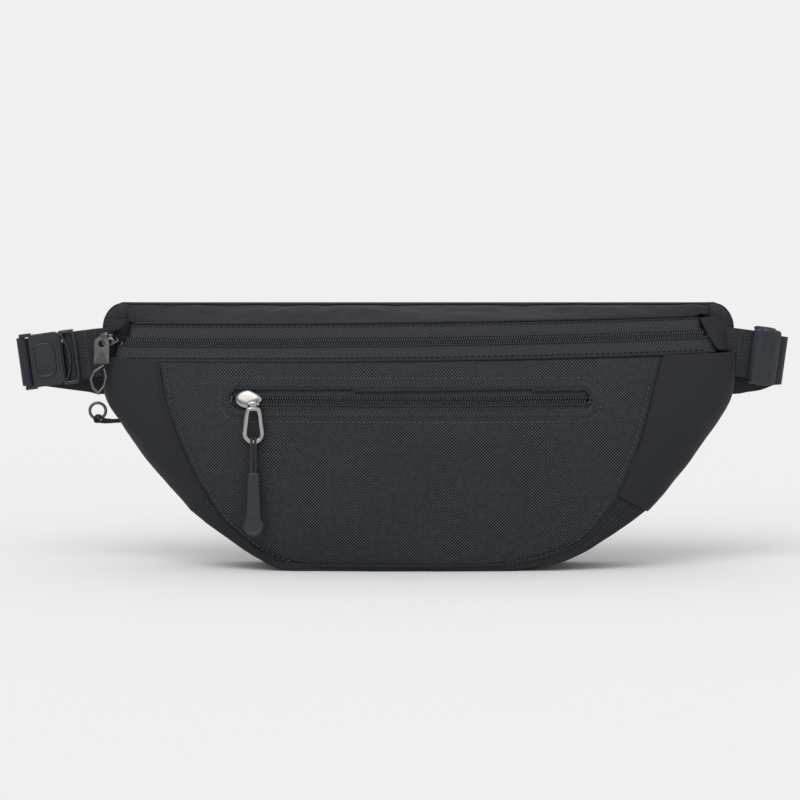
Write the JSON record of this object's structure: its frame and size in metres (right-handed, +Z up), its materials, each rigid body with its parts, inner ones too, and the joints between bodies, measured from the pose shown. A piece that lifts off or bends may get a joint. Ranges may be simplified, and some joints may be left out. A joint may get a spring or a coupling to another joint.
{
  "type": "waist pack",
  "caption": "Zipped waist pack with a curved main zip, a zipped front pocket and a webbing belt with a side-release buckle.",
  "frame": {"origin": "centre of the flat base that the bag stands on", "axes": "+Z up, +X to the right as seen from the front, the front faces -Y"},
  "size_m": [0.413, 0.0553, 0.1375],
  "materials": {
    "shell_fabric": "woven polyester, pin-dot texture",
    "smooth_fabric": "plain woven polyester",
    "webbing": "flat woven webbing",
    "zip_tape": "herringbone woven tape",
    "coil": "nylon coil",
    "gunmetal": "polished gunmetal",
    "buckle_plastic": "satin moulded acetal",
    "puller_rubber": "soft matte rubber",
    "cord": "braided cord",
    "foam": "closed cell foam",
    "lining": "thin plain lining"
  },
  "bodies": {
    "bag": {"back_panel": "smooth_fabric", "back_foam": "foam", "front_panel": "shell_fabric", "side_panel_left": "smooth_fabric", "side_panel_right": "smooth_fabric", "bottom_gusset": "shell_fabric", "corner_left": "smooth_fabric", "corner_right": "smooth_fabric", "zip_tape_lower": "zip_tape", "zip_coil_lower": "coil", "zip_stops": "gunmetal", "ring_tab": "smooth_fabric", "pocket_welt": "shell_fabric", "pocket_tape_upper": "zip_tape", "pocket_tape_lower": "zip_tape", "pocket_coil_upper": "coil", "pocket_coil_lower": "coil", "pocket_stops": "gunmetal", "pocket_bag": "lining", "inner_divider": "lining", "wing_left": "webbing", "wing_right": "webbing", "plug_loop": "webbing", "buckle_plug": "buckle_plastic", "belt_back_run": "webbing", "belt_right_turn": "webbing"},
    "lid": {"top_panel": "shell_fabric", "zip_tape_upper": "zip_tape", "zip_coil_upper": "coil"},
    "main_slider": {"main_slider": "gunmetal"},
    "main_pull": {"main_pull_tab": "gunmetal", "main_pull_loop": "gunmetal"},
    "ring": {"lock_ring": "gunmetal"},
    "pocket_slider": {"pocket_slider": "gunmetal"},
    "pocket_pull": {"pocket_pull": "gunmetal"},
    "toggle": {"pull_cord": "cord", "rubber_puller": "puller_rubber"},
    "arm_upper": {"latch_arm_upper": "buckle_plastic"},
    "arm_lower": {"latch_arm_lower": "buckle_plastic"},
    "socket": {"buckle_socket": "buckle_plastic", "socket_loop": "webbing"},
    "adjuster": {"adjuster": "buckle_plastic"}
  },
  "joints": [
    {"name": "lid_open", "type": "hinge", "parent": "bag", "child": "lid", "pos_m": [0, 0.0246, 0.138], "axis": [-1, 0, 0], "range_deg": [0, 70]},
    {"name": "main_zip_run", "type": "hinge", "parent": "bag", "child": "main_slider", "pos_m": [-0.00168, 0.544, 0.12019], "axis": [-0.014, 0, 0.9999], "range_deg": [0, 31.83]},
    {"name": "main_pull_swing", "type": "hinge", "parent": "main_slider", "child": "main_pull", "pos_m": [-0.16472, 0.0089, 0.122], "axis": [-0.9565, 0.2914, -0.0134], "range_deg": [0, 150]},
    {"name": "ring_swing", "type": "hinge", "parent": "bag", "child": "ring", "pos_m": [-0.1694, 0.009, 0.0778], "axis": [1, 0, 0], "range_deg": [-35, 15]},
    {"name": "pocket_zip_run", "type": "hinge", "parent": "bag", "child": "pocket_slider", "pos_m": [0, 0.544, 0.0903], "axis": [0, 0, 1], "range_deg": [0, 17]},
    {"name": "pocket_pull_swing", "type": "hinge", "parent": "pocket_slider", "child": "pocket_pull", "pos_m": [-0.0861, -0.02279, 0.0887], "axis": [-0.9887, 0.1502, 0], "range_deg": [0, 160]},
    {"name": "toggle_swing", "type": "hinge", "parent": "pocket_pull", "child": "toggle", "pos_m": [-0.0861, -0.02279, 0.0685], "axis": [-1, 0, 0], "range_deg": [0, 60]},
    {"name": "latch_upper", "type": "hinge", "parent": "bag", "child": "arm_upper", "pos_m": [-0.19155, 0.0179, 0.11894], "axis": [0, -1, 0], "range_deg": [0, 6], "stiffness_Nm_per_rad": 0.05},
    {"name": "latch_lower", "type": "hinge", "parent": "bag", "child": "arm_lower", "pos_m": [-0.18904, 0.0179, 0.0999], "axis": [0, 1, 0], "range_deg": [0, 6], "stiffness_Nm_per_rad": 0.05},
    {"name": "buckle_release", "type": "slide", "parent": "bag", "child": "socket", "axis": [-0.9914, 0, -0.1305], "range_m": [0, 0.024]},
    {"name": "strap_adjust", "type": "slide", "parent": "bag", "child": "adjuster", "axis": [0.9914, 0, -0.1305], "range_m": [-0.006, 0.004]}
  ],
  "couplings": [
    {"joint": "latch_lower", "follows": "latch_upper", "ratio": 1}
  ]
}
